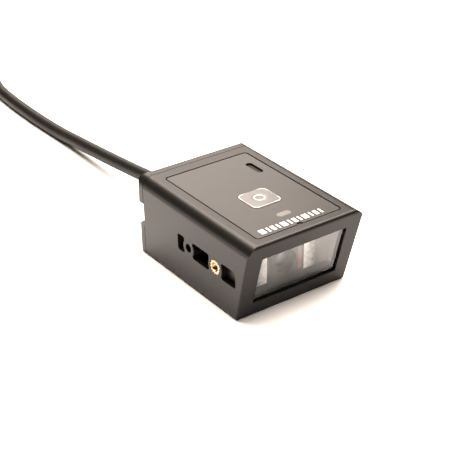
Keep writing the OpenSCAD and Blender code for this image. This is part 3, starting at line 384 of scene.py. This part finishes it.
def threaded_insert(name, node, outwards):
    low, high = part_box(node)
    length = high[0] - low[0]
    outside = (high[1] - low[1]) / 2
    centre_y = (low[1] + high[1]) / 2
    centre_z = (low[2] + high[2]) / 2
    face_x = high[0] if outwards > 0 else low[0]
    count = INSERT_TEETH * TOOTH_STEPS
    mesh = bmesh.new()

    def ring(depth, radius_at):
        points = []
        for k in range(count):
            turn = tau * k / count
            radius = radius_at(turn)
            points.append(mesh.verts.new((face_x - outwards * depth,
                                          centre_y + outwards * radius * cos(turn),
                                          centre_z + radius * sin(turn))))
        return points

    def tooth(turn):
        share = abs((turn / tau * INSERT_TEETH) % 1.0 - 0.5) * 2
        return outside - TOOTH_DEPTH * min(1.0, max(0.0, TOOTH_SLOPE * share - TOOTH_CREST))

    def tooth_end(turn):
        return tooth(turn) - TOOTH_CHAMFER

    def end_face(turn):
        return outside - TOOTH_DEPTH - TOOTH_CHAMFER

    def thread(depth):
        def radius(turn):
            share = abs((depth / THREAD_PITCH - turn / tau) % 1.0 - 0.5) * 2
            near_end = min(depth, length - depth)
            if near_end < THREAD_RUNOUT:
                return THREAD_MINOR + BORE_CHAMFER * (1 - near_end / THREAD_RUNOUT)
            return THREAD_MINOR + (THREAD_MAJOR - THREAD_MINOR) * share
        return radius

    steps = round(length / THREAD_PITCH) * THREAD_STEPS
    depths = [length * s / steps for s in range(steps + 1)]
    rings = [ring(depth, thread(depth)) for depth in depths]
    rings += [ring(length, end_face), ring(length, tooth_end), ring(length - TOOTH_CHAMFER, tooth),
              ring(TOOTH_CHAMFER, tooth), ring(0.0, tooth_end), ring(0.0, end_face)]
    join_rings(mesh, rings + rings[:1])
    piece = mesh_object(name, mesh, brass, smooth=False)
    piece.data.materials.append(bore_brass)
    for face in piece.data.polygons[:steps * count]:
        face.material_index = 1
    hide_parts(node)
    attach(piece, "reader")


brass = cut_brass("cut_brass", BRASS_DARK, BRASS)
bore_brass = cut_brass("bore_brass", BORE_DARK, BORE_BRASS)
threaded_insert("insert_left_knurled", "insert_left", -1)
threaded_insert("insert_right_knurled", "insert_right", 1)


# Label sheet: a satin film let into the top, with openings for the key, the status lens
# and the sound slot. The lens is a milky moulding, and in the slot a woven membrane lies
# on a ledge.
FILM_GREY = (0.0090, 0.0083, 0.0076)
FILM_SHINE = 0.28
LENS_MILKY = (0.055, 0.052, 0.049)
MEMBRANE_GREY = (0.016, 0.015, 0.014)
MEMBRANE_ROUGHNESS = 0.8
MEMBRANE_SHINE = 0.25
WEAVE_PITCH = 0.3 * MM
WEAVE_BANDS = 0.16
WEAVE_WANDER = 0.6
WEAVE_SHADE = 0.5
WEAVE_HEIGHT = 0.03 * MM


def woven_membrane(name):
    material, tree, shader = blank_material(name)
    place = tree.nodes.new("ShaderNodeTexCoord")
    threads = tree.nodes.new("ShaderNodeTexWave")
    threads.inputs["Scale"].default_value = WEAVE_BANDS / WEAVE_PITCH
    threads.inputs["Distortion"].default_value = WEAVE_WANDER
    tree.links.new(place.outputs["Object"], threads.inputs["Vector"])
    low = [c * WEAVE_SHADE for c in MEMBRANE_GREY]
    grey = colour_between(tree, threads.outputs["Fac"], low, MEMBRANE_GREY)
    tree.links.new(grey, shader.inputs["Base Color"])
    shader.inputs["Roughness"].default_value = MEMBRANE_ROUGHNESS
    shader.inputs["Specular IOR Level"].default_value = MEMBRANE_SHINE
    raise_surface(tree, shader, threads.outputs["Fac"], WEAVE_HEIGHT)
    return material


film_satin = moulded_plastic("film_satin", FILM_GREY, roughness=0.32, grain_size=0.07 * MM,
                             grain_height=0.002 * MM, shine=FILM_SHINE)
lens_moulding = moulded_plastic("status_lens_milky", LENS_MILKY, roughness=0.3,
                                grain_size=0.3 * MM, grain_height=0.004 * MM)
dress(film_satin, "label_sheet")
dress(lens_moulding, "status_lens")
dress(woven_membrane("sound_weave"), "sound_membrane")


# Print on the sheet: a matte black line round its edge, open at the pull notch, which is
# painted shadow standing in for the dark seam round the sheet, and white ink in a plain row
# of bars along the front.
SEAM_SHADOW_BLACK = (0.004, 0.004, 0.004)
INK_WHITE = (0.56, 0.545, 0.53)
INK_THICK = 0.015 * MM
BAR_START = -11.6 * MM
BAR_FRONT = -21.7 * MM
BAR_LENGTH = 2.2 * MM
BAR_UNIT = 0.55 * MM
BAR_GAP = 0.85 * MM
BAR_RHYTHM = (3, 1, 2, 1)
BAR_ROUNDS = 3
SEAM_SHADOW_WIDTH = 0.2 * MM
SHEET_CORNER = 1.05 * MM
NOTCH_HALF = 1.0 * MM
CORNER_STEPS = 12
sheet_low, sheet_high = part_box("label_sheet")
film_top = sheet_high[2]


def soft_outline(width, depth, radius):
    points = []
    for corner in range(4):
        for step in range(CORNER_STEPS + 1):
            turn = tau / 4 * (corner + step / CORNER_STEPS)
            side_x = 1 if corner in (0, 3) else -1
            side_y = 1 if corner in (0, 1) else -1
            points.append((side_x * (width / 2 - radius) + radius * cos(turn),
                           side_y * (depth / 2 - radius) + radius * sin(turn)))
    return points


# painted shadow: a matte black ring just inside the sheet's edge, where the seam is dark
def painted_seam_shadow():
    width = sheet_high[0] - sheet_low[0]
    depth = sheet_high[1] - sheet_low[1]
    middle_y = (sheet_high[1] + sheet_low[1]) / 2
    mesh = bmesh.new()

    def loop(inset):
        points = soft_outline(width - 2 * inset, depth - 2 * inset, SHEET_CORNER - inset)
        last_corner = 3 * (CORNER_STEPS + 1)
        front = inset - depth / 2
        round_sheet = points[last_corner:] + points[:last_corner]
        return [(NOTCH_HALF, front)] + round_sheet + [(-NOTCH_HALF, front)]

    stations = []
    for (outer_x, outer_y), (inner_x, inner_y) in zip(loop(0.0), loop(SEAM_SHADOW_WIDTH)):
        section = ((outer_x, outer_y, 0.0), (outer_x, outer_y, INK_THICK),
                   (inner_x, inner_y, INK_THICK), (inner_x, inner_y, 0.0))
        stations.append([mesh.verts.new((x, middle_y + y, film_top + rise)) for x, y, rise in section])
    join_rings(mesh, stations)
    mesh.faces.new(stations[0])
    mesh.faces.new(stations[-1])
    piece = mesh_object("sheet_painted_seam_shadow", mesh, seam_shadow_ink, smooth=False)
    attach(piece, "reader")


def bar_row():
    mesh = bmesh.new()
    start = BAR_START
    for units in BAR_RHYTHM * BAR_ROUNDS:
        width = units * BAR_UNIT
        middle = (start + width / 2, BAR_FRONT + BAR_LENGTH / 2, film_top + INK_THICK / 2)
        bar = bmesh.ops.create_cube(mesh, size=1.0)["verts"]
        bmesh.ops.scale(mesh, verts=bar, vec=(width, BAR_LENGTH, INK_THICK))
        bmesh.ops.translate(mesh, verts=bar, vec=middle)
        start += width + BAR_GAP
    piece = mesh_object("sheet_print", mesh, white_ink, smooth=False)
    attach(piece, "reader")


white_ink = moulded_plastic("white_ink", INK_WHITE, roughness=0.45, grain_size=0.2 * MM,
                            grain_height=0.003 * MM, variation=0.04)
# matte black for the painted seam shadow
seam_shadow_ink = moulded_plastic("seam_shadow_ink", SEAM_SHADOW_BLACK, roughness=0.85, grain_size=0.2 * MM,
                            grain_height=0.003 * MM, shine=0.1)
painted_seam_shadow()
bar_row()


# Read key: a moulded cap in the sheet's opening, with a shallow dish for the finger and a
# white rim and ring printed on it. A flange under the top wall keeps it in, and it moves
# down on the switch plunger.
KEY_GREY = (0.053, 0.052, 0.0515)
KEY_FLANGE = 1.0 * MM
KEY_CORNER = 1.5 * MM
KEY_DOME = 60 * MM
KEY_TOP = 25.35 * MM
KEY_DISH = 0.2 * MM
KEY_DISH_SPHERE = 20 * MM
RIM_OUT = 0.15 * MM
RIM_IN = 0.11 * MM
RIM_PROUD = 0.02 * MM
RIM_TALL = 0.25 * MM
RIM_SHOULDER = 0.02 * MM
RIM_BEVEL = 0.04 * MM
RING_RADIUS = 1.5 * MM
RING_WIDTH = 0.34 * MM
RING_STEPS = 64
key_low, key_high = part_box("read_key")
key_middle = [(low + high) / 2 for low, high in zip(key_low, key_high)]


def key_rim():
    width = key_high[0] - key_low[0] - 2 * KEY_FLANGE
    depth = key_high[1] - key_low[1] - 2 * KEY_FLANGE
    mesh = bmesh.new()

    def ring(grow, drop):
        points = []
        for x, y in soft_outline(width + 2 * grow, depth + 2 * grow, KEY_CORNER + grow):
            height = KEY_TOP - (x * x + y * y) / (2 * KEY_DOME) - drop
            points.append(mesh.verts.new((key_middle[0] + x, key_middle[1] + y, height)))
        return points

    rings = [ring(RIM_OUT, RIM_TALL), ring(RIM_OUT, RIM_SHOULDER), ring(RIM_OUT - RIM_BEVEL, -RIM_PROUD),
             ring(-RIM_IN, -RIM_PROUD), ring(-RIM_IN, RIM_TALL)]
    join_rings(mesh, rings + rings[:1])
    piece = mesh_object("key_rim", mesh, white_ink)
    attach(piece, "key")


def key_ring():
    inner = RING_RADIUS - RING_WIDTH / 2
    outer = RING_RADIUS + RING_WIDTH / 2
    mesh = bmesh.new()

    def ring(radius, lift):
        height = KEY_TOP - KEY_DISH + radius * radius / (2 * KEY_DISH_SPHERE) + lift
        points = []
        for k in range(RING_STEPS):
            turn = tau * k / RING_STEPS
            points.append(mesh.verts.new((key_middle[0] + radius * cos(turn),
                                          key_middle[1] + radius * sin(turn), height)))
        return points

    rings = [ring(outer, -INK_THICK), ring(outer, INK_THICK),
             ring(inner, INK_THICK), ring(inner, -INK_THICK)]
    join_rings(mesh, rings + rings[:1])
    piece = mesh_object("key_ring", mesh, white_ink)
    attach(piece, "key")


key_satin = moulded_plastic("key_satin", KEY_GREY, roughness=0.34, grain_size=0.07 * MM,
                            grain_height=0.002 * MM)
dress(key_satin, "read_key")
key_rim()
key_ring()


# Cable: one black sheathed lead with its moulded relief. It runs down to the floor behind
# the reader, and its unseen length is wound in four layers beside the picture. Inside the
# case it ends in red sheathed leads. The route and the coil are in millimetres.
CABLE_BLACK = (0.0070, 0.0064, 0.0060)
CABLE_SHINE = 0.11
LEAD_RED = (0.25, 0.02, 0.015)
CABLE_DIAMETER = 4.4 * MM
CABLE_RUN = [(0, 33.8, 10), (0, 42, 9.45), (0, 50, 8.4), (0, 58, 7.35), (0, 67, 6.3),
             (0, 77, 5.2), (0, 88, 4.1), (0, 98, 3.15), (-0.1, 107, 2.4), (-0.3, 114, 2.2),
             (-0.55, 121, 2.2), (-0.6, 129, 2.2), (-0.5, 137, 2.2), (-0.15, 145, 2.2),
             (0.4, 152, 2.2), (1.5, 158, 2.2), (3.4, 164, 2.2), (6.0, 170.2, 2.3),
             (9.1, 176.4, 2.5), (12.5, 182.6, 2.7), (15.9, 188.8, 2.8), (18.6, 194.8, 2.8)]
CABLE_TAIL = [(-34.7, 194, 16), (-34.7, 189.5, 15.4), (-34.6, 184.5, 13.5), (-33.9, 179, 10.7),
              (-32.5, 173.5, 7.7), (-30.7, 168, 5.3), (-29.8, 165, 4.5), (-29.4, 162, 4.2)]
COIL_CENTRE = (-7.75, 200.9)
COIL_INNER = 16.8
COIL_OUTER = 27.2
COIL_FLOOR = 2.8
COIL_LAYERS = 4
LAYER_TURNS = 2.375
POINTS_A_TURN = 16
CLIMB = 0.2
SHEATH_FACETS = 6
CURVE_STEPS = 4


def coil_point(turn):
    layer = min(int(turn / LAYER_TURNS), COIL_LAYERS - 1)
    along = turn / LAYER_TURNS - layer
    inwards = 1 - along if layer % 2 == 0 else along
    radius = COIL_INNER + (COIL_OUTER - COIL_INNER) * inwards
    lift = max(0.0, (along - 1 + CLIMB) / CLIMB) if layer < COIL_LAYERS - 1 else 0.0
    lift = lift * lift * (3 - 2 * lift)
    height = COIL_FLOOR + CABLE_DIAMETER / MM * (layer + lift)
    return (COIL_CENTRE[0] + radius * cos(tau * turn), COIL_CENTRE[1] + radius * sin(tau * turn), height)


turns = COIL_LAYERS * LAYER_TURNS
coil_steps = round(turns * POINTS_A_TURN)
coil_run = [coil_point(turns * k / coil_steps) for k in range(coil_steps + 1)]
cable_curve = bpy.data.curves.new("cable", "CURVE")
cable_curve.dimensions = "3D"
cable_curve.bevel_depth = CABLE_DIAMETER / 2
cable_curve.bevel_resolution = SHEATH_FACETS
cable_curve.resolution_u = CURVE_STEPS
cable_curve.use_fill_caps = True
cable_line = cable_curve.splines.new("BEZIER")
cable_points = CABLE_RUN + coil_run + CABLE_TAIL
cable_line.bezier_points.add(len(cable_points) - 1)
for knot, place in zip(cable_line.bezier_points, cable_points):
    knot.co = [c * MM for c in place]
    knot.handle_left_type = "AUTO"
    knot.handle_right_type = "AUTO"
cable_sheath = moulded_plastic("cable_sheath", CABLE_BLACK, roughness=0.42, grain_size=0.12 * MM,
                               grain_height=0.004 * MM, shine=CABLE_SHINE)
lead_sheath = moulded_plastic("lead_sheath", LEAD_RED, roughness=0.4, grain_size=0.1 * MM,
                              grain_height=0.003 * MM)
cable_curve.materials.append(cable_sheath)
cable = bpy.data.objects.new("cable_lead", cable_curve)
bpy.context.scene.collection.objects.link(cable)
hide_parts("cable", "cable_coil", "cable_tail")
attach(cable, "reader")
dress(cable_sheath, "cable_relief")
dress(lead_sheath, "cable_leads")


# Plug and tie: a moulded plug with a folded steel shell and a tongue with four gilt
# contacts ends the cable, and a ribbed plastic strap holds the coil.
STRAP_BLACK = (0.014, 0.014, 0.015)
SHELL_STEEL = (0.60, 0.61, 0.62)
CONTACT_PLACES = (-3.5 * MM, -1.0 * MM, 1.0 * MM, 3.5 * MM)
CONTACT_WIDTH = 1.0 * MM
CONTACT_LENGTH = 8.0 * MM
CONTACT_SET = 0.4 * MM
CONTACT_THICK = 0.04 * MM
tongue_low, tongue_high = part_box("plug_tongue")
contact_mesh = bmesh.new()
for across in CONTACT_PLACES:
    middle = ((tongue_low[0] + tongue_high[0]) / 2 + across,
              tongue_low[1] + CONTACT_SET + CONTACT_LENGTH / 2,
              tongue_high[2] + CONTACT_THICK / 2)
    strip = bmesh.ops.create_cube(contact_mesh, size=1.0)["verts"]
    bmesh.ops.scale(contact_mesh, verts=strip, vec=(CONTACT_WIDTH, CONTACT_LENGTH, CONTACT_THICK))
    bmesh.ops.translate(contact_mesh, verts=strip, vec=middle)
contacts = mesh_object("plug_contacts", contact_mesh, brass, smooth=False)
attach(contacts, "reader")
shell_steel = turned_steel("shell_steel", SHELL_STEEL, roughness=0.26, stretch=(1.0, 0.1, 1.0))
tie_strap = moulded_plastic("tie_strap", STRAP_BLACK, roughness=0.6, grain_size=0.3 * MM,
                            grain_height=0.02 * MM)
dress(cable_sheath, "plug_body")
dress(shell_steel, "plug_shell")
dress(lamp_moulding, "plug_tongue")
dress(tie_strap, "coil_tie")


# Studio: a pale floor under one broad lamp overhead, and a softbox behind to the right
# whose reflection gives the top its sheen.
LAMP_WARM = (1.0, 0.87, 0.77)
FLOOR_PALE = (0.85, 0.86, 0.87)
FLOOR_SHADE = 0.99
FLOOR_MOTTLE = 0.2
FLOOR_ROUGHNESS = 0.9
FLOOR_SIZE = 4.0
BACKDROP_STRENGTH = 0.05


def softbox(name, place, aim, width, height, watts):
    lamp = bpy.data.lights.new(name, "AREA")
    lamp.shape = "RECTANGLE"
    lamp.size = width
    lamp.size_y = height
    lamp.energy = watts
    lamp.color = LAMP_WARM
    box = bpy.data.objects.new(name, lamp)
    box.location = place
    box.rotation_euler = (Vector(aim) - Vector(place)).to_track_quat("-Z", "Y").to_euler()
    bpy.context.scene.collection.objects.link(box)


softbox("lamp_overhead", place=(0.19, 0.18, 0.83), aim=(0.0, 0.0, 0.0), width=1.05, height=1.05, watts=55.0)
softbox("lamp_sheen", place=(0.36, 0.70, 0.34), aim=(0.0, 0.0, 0.02), width=0.45, height=0.36, watts=2.6)

floor_material, floor_tree, floor_shader = blank_material("floor_pale")
floor_mottle = grain_of(floor_tree, FLOOR_MOTTLE)
floor_low = [c * FLOOR_SHADE for c in FLOOR_PALE]
floor_colour = colour_between(floor_tree, floor_mottle, floor_low, FLOOR_PALE)
floor_tree.links.new(floor_colour, floor_shader.inputs["Base Color"])
floor_shader.inputs["Roughness"].default_value = FLOOR_ROUGHNESS
floor_mesh = bmesh.new()
bmesh.ops.create_grid(floor_mesh, x_segments=1, y_segments=1, size=FLOOR_SIZE / 2)
floor = mesh_object("floor", floor_mesh, floor_material, smooth=False)

world = bpy.data.worlds.new("studio")
bpy.context.scene.world = world
world.use_nodes = True
backdrop = world.node_tree.nodes["Background"]
backdrop.inputs["Color"].default_value = (*LAMP_WARM, 1.0)
backdrop.inputs["Strength"].default_value = BACKDROP_STRENGTH
bpy.context.scene.view_settings.view_transform = "Standard"


# Camera: at the photograph's place, above the front left corner. Its place, turn and lens
# fit the straight edges of the case in the photograph.
CAMERA_PLACE = (-0.187611, -0.245911, 0.186877)
CAMERA_TURN = -36.216
CAMERA_ELEVATION = 29.231
CAMERA_LENS = 99.93
CAMERA_SENSOR = 36.0
camera_data = bpy.data.cameras.new("camera")
camera_data.lens = CAMERA_LENS
camera_data.sensor_width = CAMERA_SENSOR
camera = bpy.data.objects.new("camera", camera_data)
camera.location = CAMERA_PLACE
camera.rotation_euler = (radians(90 - CAMERA_ELEVATION), 0.0, radians(CAMERA_TURN))
bpy.context.scene.collection.objects.link(camera)
bpy.context.scene.camera = camera
